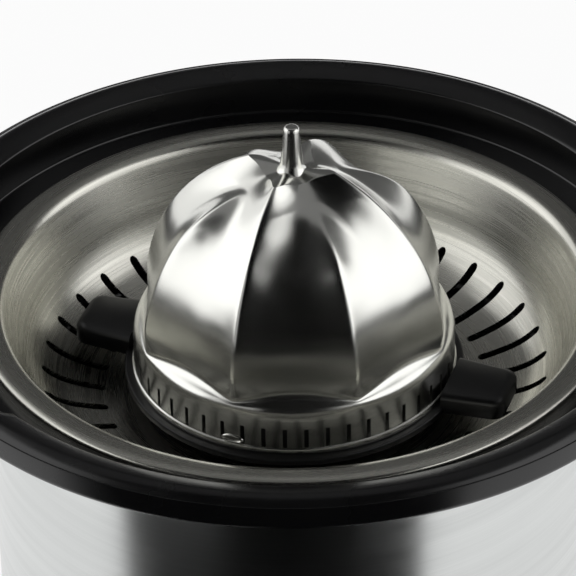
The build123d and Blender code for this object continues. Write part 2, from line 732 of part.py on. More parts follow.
def make_switch_body():
    half = SWITCH_WIDTH / 2
    top = cap_z - PRESS - 2 * FIT
    case = block(SWITCH_X0, SWITCH_X1, -half, half, bridge_top, top)
    well = block(*button_span(FIT), top - BUTTON_DEPTH - PRESS, top)
    return case - well


def make_switch_button():
    top = cap_z - FIT
    return block(*button_span(0), cap_z - PRESS - BUTTON_DEPTH + FIT, top)


def button_span(extra):
    x = BUTTON_LENGTH / 2 + extra
    y = BUTTON_WIDTH / 2 + extra
    return BUTTON_X - x, BUTTON_X + x, -y, y


# Bowl and strainer


def make_bowl():
    inner_r = bowl_r - BOWL_WALL
    ledge_z = rim_z - LEDGE_DROP
    rim_top = rim_z + RIM_TOP
    rim_low = rim_top - RIM_FACE
    step_r = rim_r - RIM_BAND
    band_z = rim_top - RIM_STEP
    chimney_out = CHIMNEY_R + CHIMNEY_WALL
    roof_in = CHIMNEY_R - CHIMNEY_LIP
    roof_z = chimney_top - BOWL_WALL
    bowl = soft_lathe(
        (CHIMNEY_R, bowl_z, 0), (bowl_r, bowl_z, BOWL_ROUND), (bowl_r, shoulder_z, 0),
        (SLEEVE_R + SHOULDER_LAP, shoulder_z, 0), (rim_r - RIM_FLARE, rim_low - RIM_FLARE_H, RIM_FLARE),
        (rim_r, rim_low, RIM_ROUND), (rim_r, rim_top, RIM_ROUND), (step_r, rim_top, 0),
        (step_r - RIM_STEP, band_z, 0), (rim_inner_r, band_z - RIM_FALL, RIM_ROUND),
        (rim_inner_r - RIM_STEP, ledge_z, 0),
        (strainer_r - LEDGE_LAP, ledge_z, 0), (inner_r, ledge_z - LEDGE_FLARE, BOWL_ROUND),
        (inner_r, bowl_floor_z, BOWL_ROUND), (chimney_out, bowl_floor_z, CHIMNEY_WALL),
        (chimney_out, chimney_top, RIM_ROUND), (roof_in, chimney_top, 0), (roof_in, roof_z, 0),
        (CHIMNEY_R, roof_z, 0))
    bowl += rod(DRAIN_R + DRAIN_WALL, bowl_z - DRAIN_DROP, bowl_floor_z, 0, DRAIN_Y)
    bowl -= rod(DRAIN_R, bowl_z - DRAIN_DROP, bowl_floor_z, 0, DRAIN_Y)
    notch = block(rim_inner_r - NOTCH_WIDTH / 2, rim_inner_r + NOTCH_DEPTH, -NOTCH_WIDTH / 2, NOTCH_WIDTH / 2,
                  ledge_z, rim_top)
    return bowl - Rot(0, 0, NOTCH_AZIMUTH) * notch


def make_strainer():
    flat_z = rim_z - STRAINER_DEPTH
    collar_r = STRAINER_HOLE_R + STRAINER_SHEET
    dish = [
        (strainer_r, rim_z - LEDGE_DROP, 0), (strainer_r, rim_z, STRAINER_EDGE),
        (strainer_rim_in, rim_z, STRAINER_EDGE), (strainer_floor_r, flat_z + STRAINER_SLOPE, STRAINER_BEND),
        (strainer_flat_r, flat_z, STRAINER_BEND),
        (collar_r, flat_z, STRAINER_EDGE), (collar_r, flat_z + STRAINER_COLLAR, 0)]
    sheet = soft_lathe(*dish, *under_sheet(dish, STRAINER_SHEET))
    length = STRAINER_FALL - 2 * SLOT_MARGIN
    middle = (strainer_flat_r + strainer_floor_r) / 2
    slot = extrude(SlotOverall(length, SLOT_WIDTH), 3 * STRAINER_SLOPE)
    slot = Pos(middle, 0, flat_z - STRAINER_SLOPE) * slot
    return sheet - turned(slot, [360 * (k + 0.5) / SLOT_COUNT for k in range(SLOT_COUNT)])


# Reamer


# Radius of a rounded cone at a height above its foot
def meridian(foot_r, height, bulge, h):
    return foot_r * max(0.0, 1 - (h / height) ** bulge[1]) ** (1 / bulge[0])


def valley_r(h):
    return meridian(FLOOR_R, FLOOR_H, FLOOR_BULGE, h)


# Share of its full height that a low rib keeps
def low_share(h):
    sunk = max(0.0, (h - LOW_RIB_FADE) / (LOW_RIB_END - LOW_RIB_FADE))
    return max(0.0, 1 - sunk * sunk)


# Outline of the cone at one height: tall and low ribs in turn, with a hollow flute between each two
def rib_outline(h):
    pitch = 360 / RIBS
    floor_r = max(valley_r(h), CONE_TOP_R)
    rise = meridian(CREST_R, CREST_H, CREST_BULGE, h) - floor_r
    tall, low = floor_r + rise, floor_r + max(rise * low_share(h), RIB_EDGE / 4)
    dip = floor_r + rise * (1 - low_share(h)) / 4  # a tall rib's flank spreads where the low one is gone

    def at(r, degrees):
        return r * cos(radians(degrees)), r * sin(radians(degrees))

    edges = []
    for k in range(RIBS):
        here = RIB_PHASE + pitch * k
        near, far = (tall, low) if k % 2 == 0 else (low, tall)
        near_edge = RIB_EDGE / 2 / radians(near)
        far_edge = RIB_EDGE / 2 / radians(far)
        start = at(near, here + near_edge)
        end = at(far, here + pitch - far_edge)
        chord = (near * cos(radians(pitch / 2 - near_edge)) + far * cos(radians(pitch / 2 - far_edge))) / 2
        edges.append(Line(at(near, here - near_edge), start))
        edges.append(Bezier(start, at(2 * dip - chord, here + pitch / 2), end))
    return Pos(0, 0, foot_z + h) * make_face(Wire(edges))


def make_reamer_cone():
    shares = [k / (RIB_LEVELS - 1) for k in range(RIB_LEVELS)]
    cone = loft([rib_outline(CONE_TOP * share * (2 - share)) for share in shares])
    skirt_low = foot_z - SKIRT_H
    skirt_in = SKIRT_R - SKIRT_WALL
    lip_r = SKIRT_R + SKIRT_LIP
    lip_top = skirt_low + SKIRT_LIP_H
    ledge_z = foot_z + FOOT_LEDGE
    wall_in = FLOOR_R - CONE_WALL
    cone += lathe(
        (skirt_in, skirt_low), (lip_r, skirt_low), (lip_r, lip_top - SKIRT_LIP), (SKIRT_R, lip_top),
        (SKIRT_R, foot_z - FOOT_EASE), (FLOOR_R - FOOT_EASE, ledge_z), (wall_in, ledge_z), (wall_in, foot_z),
        (skirt_in, foot_z))
    cavity_top = foot_z + CAVITY_H
    steps = [CAVITY_H * share for share in (0, 0.4, 0.7, 0.9)]
    hollow = [(valley_r(h) - CONE_WALL, foot_z + h) for h in steps]
    cone -= lathe((0, foot_z - PAST), (wall_in, foot_z - PAST), *hollow, (HUB_R, cavity_top), (0, cavity_top))
    dish_top = crown_z + 2 * CROWN_RISE
    cone -= lathe((0, crown_z), (CROWN_R, crown_z + CROWN_RISE), (CROWN_R, dish_top), (0, dish_top))
    cone -= rod(TENON_R, cavity_top - PAST, crown_z + PAST)
    slot_top = foot_z - SKIRT_SLOT_DROP
    half = SKIRT_SLOT_W / 2
    slot = block(skirt_in - PAST, SKIRT_R + PAST, -half, half, slot_top - SKIRT_SLOT_H, slot_top)
    return cone - turned(slot, [RIB_PHASE + 360 * (k + 0.5) / SKIRT_SLOTS for k in range(SKIRT_SLOTS)])


def make_centre_pin():
    low_z = foot_z + CAVITY_H
    tip_z = crown_z + CENTRE_PIN_H
    seat_z = crown_z + CROWN_RISE * CENTRE_PIN_R / CROWN_R + FIT
    return soft_lathe(
        (0, low_z, 0), (TENON_R, low_z, 0), (TENON_R, seat_z, 0), (CENTRE_PIN_R, seat_z, 0),
        (CENTRE_PIN_TIP, tip_z, PIN_ROUND), (0, tip_z, 0))


def make_carrier():
    skirt_in = SKIRT_R - SKIRT_WALL - FIT
    ring_top = foot_z - SKIRT_H - FIT
    ring_low = ring_top - CARRIER_RING_H
    ring_r = SKIRT_R + CARRIER_RING
    wall_in = skirt_in - CARRIER_WALL
    plate_low = foot_z - CARRIER_T
    carrier = lathe(
        (0, hub_z), (HUB_R, hub_z), (HUB_R, plate_low), (wall_in, plate_low), (wall_in, ring_low),
        (ring_r, ring_low), (ring_r, ring_top), (skirt_in, ring_top), (skirt_in, foot_z - FIT),
        (HUB_R, foot_z - FIT), (HUB_R - HUB_TAPER, hub_top), (0, hub_top))
    socket_r = (HEX_FLATS + LOOSE) / sqrt(3)
    carrier -= Pos(0, 0, hub_z) * extrude(RegularPolygon(socket_r, 6), HUB_H - HUB_TOP)
    root = ring_r - CARRIER_RING
    paddle = prism(
        [(root, -PADDLE_ROOT_W / 2), (paddle_end, -PADDLE_END_W / 2), (paddle_end, PADDLE_END_W / 2),
         (root, PADDLE_ROOT_W / 2)], ring_low, ring_low + PADDLE_H)
    paddle = fillet(paddle.edges().filter_by(Axis.Z).sort_by(Axis.X)[-2:], PADDLE_ROUND)
    paddle -= rod(SKIRT_R + SKIRT_LIP + FIT, ring_top, ring_low + PADDLE_H)
    return carrier + turned(paddle, (PADDLE_AZIMUTH, PADDLE_AZIMUTH + 180))


PARTS = {
    "steel_sleeve": make_sleeve,
    "bottom_cover": make_bottom_cover,
    "rubber_feet": make_feet,
    "tie_screws": make_tie_screws,
    "cord_gland": make_gland,
    "top_deck": make_top_deck,
    "spout_duct": make_duct,
    "drain_gasket": make_drain_gasket,
    "spout_pins": make_spout_pins,
    "drip_spout": make_drip_spout,
    "motor_stator": make_stator,
    "motor_coil": make_coil,
    "lower_bracket": lambda: make_bracket(stack_z, -1),
    "upper_bracket": lambda: make_bracket(stack_top, 1),
    "motor_bushes": make_motor_bushes,
    "motor_bolts": make_motor_bolts,
    "motor_spacers": make_motor_spacers,
    "rotor_core": make_rotor_core,
    "rotor_shaft": make_rotor_shaft,
    "cooling_fan": make_fan,
    "gear_plate": make_gear_plate,
    "idler_axle": make_idler_axle,
    "idler_gear": make_idler_gear,
    "motor_pinion": make_motor_pinion,
    "output_gear": make_output_gear,
    "spindle": make_spindle,
    "retaining_clip": make_clip,
    "spindle_bushes": make_spindle_bushes,
    "spindle_seal": make_seal,
    "thrust_bridge": make_bridge,
    "bridge_posts": make_bridge_posts,
    "bridge_screws": make_bridge_screws,
    "thrust_cap": make_thrust_cap,
    "return_spring": make_spring,
    "switch_body": make_switch_body,
    "switch_button": make_switch_button,
    "juice_bowl": make_bowl,
    "strainer": make_strainer,
    "reamer_cone": make_reamer_cone,
    "centre_pin": make_centre_pin,
    "sweeper_carrier": make_carrier,
}

os.makedirs("parts", exist_ok=True)
for name, make in PARTS.items():
    export_step(make(), f"parts/{name}.step")
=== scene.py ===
import json
from math import asin, atan2, cos, degrees, hypot, pi, radians, sin, sqrt

import bmesh
import bpy
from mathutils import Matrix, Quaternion, Vector


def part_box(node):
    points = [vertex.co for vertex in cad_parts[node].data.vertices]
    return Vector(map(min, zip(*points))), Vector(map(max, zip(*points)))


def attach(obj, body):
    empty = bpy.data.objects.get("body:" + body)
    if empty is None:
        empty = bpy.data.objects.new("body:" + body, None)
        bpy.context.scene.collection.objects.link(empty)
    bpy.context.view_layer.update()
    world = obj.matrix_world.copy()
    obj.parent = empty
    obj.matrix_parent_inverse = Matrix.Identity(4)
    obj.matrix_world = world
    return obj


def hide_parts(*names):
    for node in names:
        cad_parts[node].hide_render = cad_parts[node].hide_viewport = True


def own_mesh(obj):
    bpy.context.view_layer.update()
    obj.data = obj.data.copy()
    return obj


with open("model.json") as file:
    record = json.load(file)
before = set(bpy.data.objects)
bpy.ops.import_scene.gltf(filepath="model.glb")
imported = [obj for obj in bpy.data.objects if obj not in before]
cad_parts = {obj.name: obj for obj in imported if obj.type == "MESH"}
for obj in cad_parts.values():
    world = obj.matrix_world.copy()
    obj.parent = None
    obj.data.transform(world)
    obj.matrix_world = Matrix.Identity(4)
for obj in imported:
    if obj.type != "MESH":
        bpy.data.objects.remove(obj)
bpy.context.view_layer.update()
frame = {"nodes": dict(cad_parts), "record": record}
nodes = frame["nodes"]
mm = 0.001
weldGap = 0.002  # points closer than this, in mm, become one
filletShare = 0.48  # of an edge, the most that one soft corner takes
noiseSpan = {"From Min": 0.3, "From Max": 0.7}  # where the values of a noise mostly lie
print("frame loaded:", len(nodes), "CAD nodes")


# small tools

def toLinear(hexText):  # sRGB hex to linear RGBA
    parts = [int(hexText[i:i + 2], 16) / 255 for i in (1, 3, 5)]
    return tuple(c / 12.92 if c <= 0.04045 else ((c + 0.055) / 1.055) ** 2.4 for c in parts) + (1.0,)


def addNode(tree, kind, feeds=None, **settings):  # feeds: socket name or number to a value or another socket
    node = tree.nodes.new(kind)
    for name, value in settings.items():
        setattr(node, name, value)
    for socket, value in (feeds or {}).items():
        if isinstance(value, bpy.types.NodeSocket):
            tree.links.new(value, node.inputs[socket])
        else:
            node.inputs[socket].default_value = value
    return node


def startMaterial(name):
    material = bpy.data.materials.new(name)
    material.use_nodes = True
    material.node_tree.nodes.clear()
    return material, material.node_tree


def endMaterial(tree, shader):
    addNode(tree, "ShaderNodeOutputMaterial", {"Surface": shader.outputs["BSDF"]})


def bend(start, corner, end, steps=7):  # a soft corner from start to end
    points = []
    for k in range(steps + 1):
        t = k / steps
        point = start * (1 - t) ** 2 + corner * 2 * t * (1 - t) + end * t * t
        points.append((point.x, point.y))
    return points


def rounded(corners, closed=True, steps=6):  # (r, z, fillet) corners to an outline with soft corners
    outline = []
    count = len(corners)
    for i, (r, z, fillet) in enumerate(corners):
        here = Vector((r, z))
        if fillet == 0 or (not closed and i in (0, count - 1)):
            outline.append((r, z))
            continue
        before = Vector(corners[i - 1][:2]) - here
        after = Vector(corners[(i + 1) % count][:2]) - here
        start = here + before.normalized() * min(fillet, before.length * filletShare)
        end = here + after.normalized() * min(fillet, after.length * filletShare)
        outline += bend(start, here, end, steps)
    return outline


def addObject(name, data):
    thing = bpy.data.objects.new(name, data)
    bpy.context.scene.collection.objects.link(thing)
    return thing


def dressPiece(name, verts, faces, body, node, material, sharp=38):  # millimetres in, metres out
    mesh = bpy.data.meshes.new(name)
    mesh.from_pydata([(x * mm, y * mm, z * mm) for x, y, z in verts], [], faces)
    work = bmesh.new()
    work.from_mesh(mesh)
    bmesh.ops.remove_doubles(work, verts=work.verts, dist=weldGap * mm)
    bmesh.ops.recalc_face_normals(work, faces=work.faces)
    work.to_mesh(mesh)
    work.free()
    mesh.polygons.foreach_set("use_smooth", [True] * len(mesh.polygons))
    mesh.set_sharp_from_angle(angle=radians(sharp))
    mesh.materials.append(material)
    piece = addObject(name, mesh)
    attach(piece, body)
    if node:
        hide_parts(node)
    return piece


def ringFaces(rings, count, closed=True):  # quads between neighbouring rings of count points
    faces = []
    for j in range(rings if closed else rings - 1):
        here, there = j * count, (j + 1) % rings * count
        for i in range(count):
            beside = (i + 1) % count
            faces.append((here + i, here + beside, there + beside, there + i))
    return faces


def endFaces(rings, count):  # the two caps of an open row of rings
    return [tuple(range(count)), tuple(range((rings - 1) * count, rings * count))]


def spun(outline, segments):  # a closed outline turned about the spindle axis
    verts = [(r * cos(2 * pi * j / segments), r * sin(2 * pi * j / segments), z)
             for j in range(segments) for r, z in outline]
    return verts, ringFaces(segments, len(outline))


def piercedShell(front, back, rows, cols, isHole):  # two skins joined at their edges and round each hole
    skin = rows * cols
    verts = [front(i, j) for i in range(rows) for j in range(cols)]
    verts += [back(i, j) for i in range(rows) for j in range(cols)]

    def at(i, j, side):
        return side * skin + i * cols + j % cols

    faces = []
    for i in range(rows - 1):
        for j in range(cols):
            ring = [(i, j), (i, j + 1), (i + 1, j + 1), (i + 1, j)]
            if not isHole(i, j):
                faces.append([at(a, b, 0) for a, b in ring])
                faces.append([at(a, b, 1) for a, b in reversed(ring)])
                continue
            besides = [(i - 1, j), (i, (j + 1) % cols), (i + 1, j), (i, (j - 1) % cols)]
            for side, other in enumerate(besides):
                if not isHole(*other):
                    a, b = ring[side], ring[(side + 1) % 4]
                    faces.append([at(*a, 0), at(*b, 0), at(*b, 1), at(*a, 1)])
    for i in (0, rows - 1):
        faces += [[at(i, j, 0), at(i, j + 1, 0), at(i, j + 1, 1), at(i, j, 1)] for j in range(cols)]
    return verts, faces


# materials

def makePolishedSteel():
    # stainless steel, pressed and die polished: a soft mirror that wavers where the sheet was drawn
    # its faint lines in mm are drawn wider than real polish lines, so that they show in the render
    look = {
        "colour": "#E2E2DD", "roughness": 0.21, "duller": 0.05, "glossier": 0.03, "patch": 18.0,
        "lineSpacing": 0.9, "lineRun": 15.0, "lineDepth": 0.012, "lineStrength": 0.06,
        "waveSpacing": 13.0, "waveDepth": 0.45,
    }
    material, tree = startMaterial("polishedStainless")
    place = addNode(tree, "ShaderNodeTexCoord")
    stretch = addNode(tree, "ShaderNodeMapping", {
        "Vector": place.outputs["Object"],
        "Scale": (1000 / look["lineSpacing"], 1000 / look["lineSpacing"], 1000 / look["lineRun"])})
    lines = addNode(tree, "ShaderNodeTexNoise", {
        "Vector": stretch.outputs["Vector"], "Scale": 1.0, "Detail": 3.0})
    clouds = addNode(tree, "ShaderNodeTexNoise", {
        "Vector": place.outputs["Object"], "Scale": 1000 / look["patch"], "Detail": 2.0})
    gloss = addNode(tree, "ShaderNodeMapRange", {
        "Value": clouds.outputs["Fac"], **noiseSpan, "To Min": look["roughness"] - look["glossier"],
        "To Max": look["roughness"] + look["duller"]})
    waves = addNode(tree, "ShaderNodeTexNoise", {
        "Vector": place.outputs["Object"], "Scale": 1000 / look["waveSpacing"], "Detail": 1.0})
    dented = addNode(tree, "ShaderNodeBump", {
        "Height": waves.outputs["Fac"], "Strength": 1.0, "Distance": look["waveDepth"] * mm})
    bump = addNode(tree, "ShaderNodeBump", {
        "Height": lines.outputs["Fac"], "Strength": look["lineStrength"], "Distance": look["lineDepth"] * mm,
        "Normal": dented.outputs["Normal"]})
    shader = addNode(tree, "ShaderNodeBsdfPrincipled", {
        "Base Color": toLinear(look["colour"]), "Metallic": 1.0, "Roughness": gloss.outputs["Result"],
        "Normal": bump.outputs["Normal"]})
    endMaterial(tree, shader)
    return material


def makeRingBrushed(name, colour, roughness, lineWidth, bandWidth, contrast, along):
    # stainless sheet brushed round the axis: fine rings in broader bands that smear light across them
    # lineWidth in mm is drawn coarser than real grit, so that the lines show in the render
    look = {"lap": 1.6, "brighter": 0.8, "depth": 0.02, "strength": 0.03, "sumMin": 0.7, "sumMax": 1.3,
            "smearTurn": 0.25}
    material, tree = startMaterial(name)
    place = addNode(tree, "ShaderNodeTexCoord")
    flat = addNode(tree, "ShaderNodeVectorMath", {0: place.outputs["Object"], 1: (1, 1, 0)},
                   operation="MULTIPLY")
    radius = addNode(tree, "ShaderNodeVectorMath", {0: flat.outputs["Vector"]}, operation="LENGTH")
    unit = addNode(tree, "ShaderNodeVectorMath", {0: flat.outputs["Vector"]}, operation="NORMALIZE")
    lap = addNode(tree, "ShaderNodeVectorMath", {0: unit.outputs["Vector"], "Scale": look["lap"]},
                  operation="SCALE")
    height = addNode(tree, "ShaderNodeSeparateXYZ", {"Vector": place.outputs["Object"]})
    across = addNode(tree, "ShaderNodeMath", {0: radius.outputs["Value"], 1: height.outputs["Z"]},
                     operation="ADD")
    noises = []
    for around, width, detail, rough in ((lap, lineWidth, 3.0, 0.6), (unit, bandWidth, 2.0, 0.5)):
        fine = addNode(tree, "ShaderNodeMath", {0: across.outputs["Value"], 1: 1000 / width},
                       operation="MULTIPLY")
        line = addNode(tree, "ShaderNodeCombineXYZ", {"Z": fine.outputs["Value"]})
        where = addNode(tree, "ShaderNodeVectorMath", {
            0: around.outputs["Vector"], 1: line.outputs["Vector"]}, operation="ADD")
        noises.append(addNode(tree, "ShaderNodeTexNoise", {
            "Vector": where.outputs["Vector"], "Scale": 1.0, "Detail": detail, "Roughness": rough}))
    grit, bands = noises
    mixed = addNode(tree, "ShaderNodeMath", {0: grit.outputs["Fac"], 1: bands.outputs["Fac"]},
                    operation="ADD")
    span = {"Value": mixed.outputs["Value"], "From Min": look["sumMin"], "From Max": look["sumMax"]}
    tone = addNode(tree, "ShaderNodeMapRange", {
        **span, "To Min": 1 - contrast, "To Max": 1 + look["brighter"] * contrast})
    base = addNode(tree, "ShaderNodeVectorMath", {0: toLinear(colour)[:3], "Scale": tone.outputs["Result"]},
                   operation="SCALE")
    gloss = addNode(tree, "ShaderNodeMapRange", {
        **span, "To Min": roughness + contrast / 2, "To Max": roughness - contrast / 2})
    bump = addNode(tree, "ShaderNodeBump", {
        "Height": grit.outputs["Fac"], "Strength": look["strength"], "Distance": look["depth"] * mm})
    tangent = addNode(tree, "ShaderNodeTangent", direction_type="RADIAL", axis="Z")
    shader = addNode(tree, "ShaderNodeBsdfPrincipled", {
        "Base Color": base.outputs["Vector"], "Metallic": 1.0, "Roughness": gloss.outputs["Result"],
        "Anisotropic": along, "Anisotropic Rotation": look["smearTurn"],
        "Tangent": tangent.outputs["Tangent"], "Normal": bump.outputs["Normal"]})
    endMaterial(tree, shader)
    return material


def makeMouldedPlastic(name, colour, roughness, grain, depth):
    # injection moulded plastic or rubber: dyed through, its gloss broken by a spark eroded grain
    # grain in mm is drawn coarser than a real one, so that it shows in the render
    look = {"ior": 1.53, "patch": 25.0, "glossier": 0.05, "duller": 0.07, "darker": 0.85, "lighter": 1.2,
            "grainStrength": 0.25}
    material, tree = startMaterial(name)
    place = addNode(tree, "ShaderNodeTexCoord")
    pores = addNode(tree, "ShaderNodeTexNoise", {
        "Vector": place.outputs["Object"], "Scale": 1000 / grain, "Detail": 3.0})
    wear = addNode(tree, "ShaderNodeTexNoise", {
        "Vector": place.outputs["Object"], "Scale": 1000 / look["patch"], "Detail": 4.0})
    gloss = addNode(tree, "ShaderNodeMapRange", {
        "Value": wear.outputs["Fac"], **noiseSpan, "To Min": roughness - look["glossier"],
        "To Max": roughness + look["duller"]})
    tone = addNode(tree, "ShaderNodeMapRange", {
        "Value": wear.outputs["Fac"], "To Min": look["darker"], "To Max": look["lighter"]})
    base = addNode(tree, "ShaderNodeVectorMath", {0: toLinear(colour)[:3], "Scale": tone.outputs["Result"]},
                   operation="SCALE")
    bump = addNode(tree, "ShaderNodeBump", {
        "Height": pores.outputs["Fac"], "Strength": look["grainStrength"], "Distance": depth * mm})
    shader = addNode(tree, "ShaderNodeBsdfPrincipled", {
        "Base Color": base.outputs["Vector"], "IOR": look["ior"], "Roughness": gloss.outputs["Result"],
        "Normal": bump.outputs["Normal"]})
    endMaterial(tree, shader)
    return material


def makePlainMetal(name, colour, roughness, mottle):
    # rolled, plated or sintered metal: an even tone with patches where the finish took differently
    look = {"darker": 0.85, "lighter": 1.1, "glossier": 0.06, "duller": 0.08}
    material, tree = startMaterial(name)
    place = addNode(tree, "ShaderNodeTexCoord")
    patches = addNode(tree, "ShaderNodeTexNoise", {
        "Vector": place.outputs["Object"], "Scale": 1000 / mottle, "Detail": 3.0})
    tone = addNode(tree, "ShaderNodeMapRange", {
        "Value": patches.outputs["Fac"], **noiseSpan, "To Min": look["darker"], "To Max": look["lighter"]})
    base = addNode(tree, "ShaderNodeVectorMath", {0: toLinear(colour)[:3], "Scale": tone.outputs["Result"]},
                   operation="SCALE")
    gloss = addNode(tree, "ShaderNodeMapRange", {
        "Value": patches.outputs["Fac"], **noiseSpan, "To Min": roughness - look["glossier"],
        "To Max": roughness + look["duller"]})
    shader = addNode(tree, "ShaderNodeBsdfPrincipled", {
        "Base Color": base.outputs["Vector"], "Metallic": 1.0, "Roughness": gloss.outputs["Result"]})
    endMaterial(tree, shader)
    return material


polishedStainless = makePolishedSteel()
brushedStrainer = makeRingBrushed("ringBrushedStainless", "#C8C7BF", roughness=0.27, lineWidth=0.4,
                                  bandWidth=1.8, contrast=0.13, along=0.35)  # warm, in clear bands
brushedSleeve = makeRingBrushed("sleeveBrushedStainless", "#D6D8D7", roughness=0.30, lineWidth=0.3,
                                bandWidth=2.4, contrast=0.05, along=0.7)  # cool, with upright smears of light
# moulded: colour, roughness, then grain and its depth in mm
satinAbs = makeMouldedPlastic("satinBlackAbs", "#060607", 0.24, 0.8, 0.01)  # deep black, clear sheen lines
mattAbs = makeMouldedPlastic("mattBlackAbs", "#070708", 0.36, 0.5, 0.02)  # black, its edges only softly lit
housingAbs = makeMouldedPlastic("grainedBlackAbs", "#111112", 0.42, 0.45, 0.03)  # black greyed by its grain
rubber = makeMouldedPlastic("blackRubber", "#0D0D0D", 0.75, 0.6, 0.03)  # moulded, dull all over
nylon = makeMouldedPlastic("naturalNylon", "#DDD8C8", 0.40, 1.2, 0.01)  # waxy ivory
glassFilled = makeMouldedPlastic("glassFilledNylon", "#2E2F31", 0.55, 0.6, 0.02)  # dry grey, short fibres
# plain metals: colour, roughness, then the width of their patches in mm
zincSteel = makePlainMetal("zincPlatedSteel", "#B9BBBF", 0.34, 3.0)  # cool, with spangle
laminationSteel = makePlainMetal("oiledLaminations", "#55565A", 0.50, 1.0)  # dark punched sheet
copperWire = makePlainMetal("enamelledCopper", "#B5623A", 0.35, 0.8)  # drawn and lacquered, reddish gloss
bronze = makePlainMetal("sinteredBronze", "#B08A4E", 0.48, 0.6)  # pressed powder, speckled

slotFinish = {
    "sleeve_steel": brushedSleeve, "strainer_steel": brushedStrainer, "reamer_steel": polishedStainless,
    "bowl_plastic": satinAbs, "carrier_plastic": mattAbs, "housing_plastic": housingAbs, "rubber": rubber,
    "zinc_steel": zincSteel, "lamination_steel": laminationSteel, "copper_winding": copperWire,
    "bronze": bronze, "gear_nylon": nylon, "bridge_plastic": glassFilled,
}
for part in frame["record"]["subparts"]:
    owner = nodes[part["node"]]
    for holder in owner.material_slots:
        holder.material = slotFinish[part["material_slot"]]
print("materials on", len(nodes), "nodes")


# reamer cone

reamer = {
    "ribs": 8, "ribPhase": -112.5, "crestR": 37.6, "crestH": 45.5, "crestBulge": (1.7, 2.1), "floorR": 34.2,
    "floorH": 43.0, "floorBulge": (1.3, 2.6), "lowRibFade": 28.0, "lowRibEnd": 38.6, "crestSoft": (0.8, 2.4),
    "crownH": 41.9, "crownFold": 0.11, "crownFall": 0.02, "boreR": 1.9, "footRise": 1.4, "skirtR": 37.8,
    "skirtWall": 1.6, "lip": 0.5, "lipH": 1.6, "slots": 48, "slotW": 1.0, "slotH": 5.2, "slotDrop": 4.8,
    "footAboveSkirt": 11.6, "footRoll": 2.6, "footFillet": 1.8, "ribRise": 0.7,
    "pinch": 1.5, "pinchH": 8.0, "columns": 80, "rows": 100, "crownRows": 14,
    "rowCrowding": 1.6, "footEdge": -0.2, "boreEnd": 36.0,
    "hollow": [(8.0, 32.0), (20.0, 24.0), (27.0, 12.0), (30.5, 0.0)], "crownFrom": 30.0,
    "lipFoot": [(0.0, 0.4), (0.15, 0.1), (0.45, 0.0)], "lipHead": [(0.6, 0.0), (0.2, 0.15), (0.0, 0.5)],
    "slotTuck": 0.12, "slotSide": 1.5, "sharp": 30, "halvings": 40,
}


def meridian(footR, height, bulge, h):
    return footR * max(0.0, 1 - (h / height) ** bulge[1]) ** (1 / bulge[0])


def crownLevel(r, turn):  # four folds, high at the tall ribs
    return reamer["crownH"] + r * (reamer["crownFold"] * cos(radians(4 * turn)) - reamer["crownFall"])


def flank(off, half, soft):  # 1 on a rib, 0 in the flute beside it
    reach = (sqrt(off * off + soft * soft) - soft) / (sqrt(half * half + soft * soft) - soft)
    return (1 - min(1.0, reach)) ** 2


def coneRadius(h, turn):  # turn in degrees from the first tall rib
    pitch = 360 / reamer["ribs"]
    floorR = meridian(reamer["floorR"], reamer["floorH"], reamer["floorBulge"], h)
    rise = meridian(reamer["crestR"], reamer["crestH"], reamer["crestBulge"], h) - floorR
    sunk = max(0.0, (h - reamer["lowRibFade"]) / (reamer["lowRibEnd"] - reamer["lowRibFade"]))
    lowShare = max(0.0, 1 - sunk * sunk)
    soft = reamer["crestSoft"][0] + reamer["crestSoft"][1] * (h / reamer["crestH"]) ** 3
    tallOff = abs((turn + pitch) % (2 * pitch) - pitch)
    tall = flank(tallOff, pitch / 2 * (2 - lowShare), soft)
    low = lowShare * flank(pitch - tallOff, pitch / 2, soft)
    return floorR + rise * (tall + low), max(tall, low)


def sideRadius(h, turn):  # the ribs draw in a little above the skirt
    r, rib = coneRadius(h, turn)
    return r - reamer["pinch"] * rib * max(0.0, 1 - h / reamer["pinchH"]) ** 2


def crownMeeting(turn):  # height where the cone's side meets the crown
    low, high = reamer["crownFrom"], reamer["crestH"]
    for step in range(reamer["halvings"]):
        middle = (low + high) / 2
        if middle < crownLevel(coneRadius(middle, turn)[0], turn):
            low = middle
        else:
            high = middle
    return low


def buildReamer():
    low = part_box("reamer_cone")[0][2] / mm
    foot = low + reamer["footAboveSkirt"]
    cols = reamer["ribs"] * reamer["columns"]
    out = reamer["skirtR"]
    columns = []
    for j in range(cols):
        turn = 360 * j / cols
        angle = radians(turn + reamer["ribPhase"])
        top = crownMeeting(turn)
        start = reamer["ribRise"] + reamer["footRise"] * (1 - coneRadius(0, turn)[1])
        footR = sideRadius(start, turn)
        first = start + reamer["footFillet"]
        edge, inner = Vector((out, reamer["footEdge"])), Vector((footR, start))
        middle = (edge + inner) / 2
        line = [(out - reamer["skirtWall"], -reamer["footRoll"])]
        line += bend(Vector((out, -reamer["footRoll"])), edge, middle)
        line += bend(middle, inner, Vector((sideRadius(first, turn), first)))[1:-1]
        for i in range(reamer["rows"] + 1):
            h = first + (top - first) * (1 - (1 - i / reamer["rows"]) ** reamer["rowCrowding"])
            line.append((sideRadius(h, turn), h))
        edgeR = line[-1][0]
        for i in range(1, reamer["crownRows"] + 1):
            r = edgeR + (reamer["boreR"] - edgeR) * i / reamer["crownRows"]
            line.append((r, crownLevel(r, turn)))
        line += [(reamer["boreR"], reamer["boreEnd"])] + reamer["hollow"]
        columns.append([(r * cos(angle), r * sin(angle), foot + h) for r, h in line])
    verts = [point for column in columns for point in column]
    faces = ringFaces(cols, len(columns[0]))
    dressPiece("reamerCone", verts, faces, "reamer", "reamer_cone", polishedStainless,
               sharp=reamer["sharp"])
    buildSkirt(low, foot)


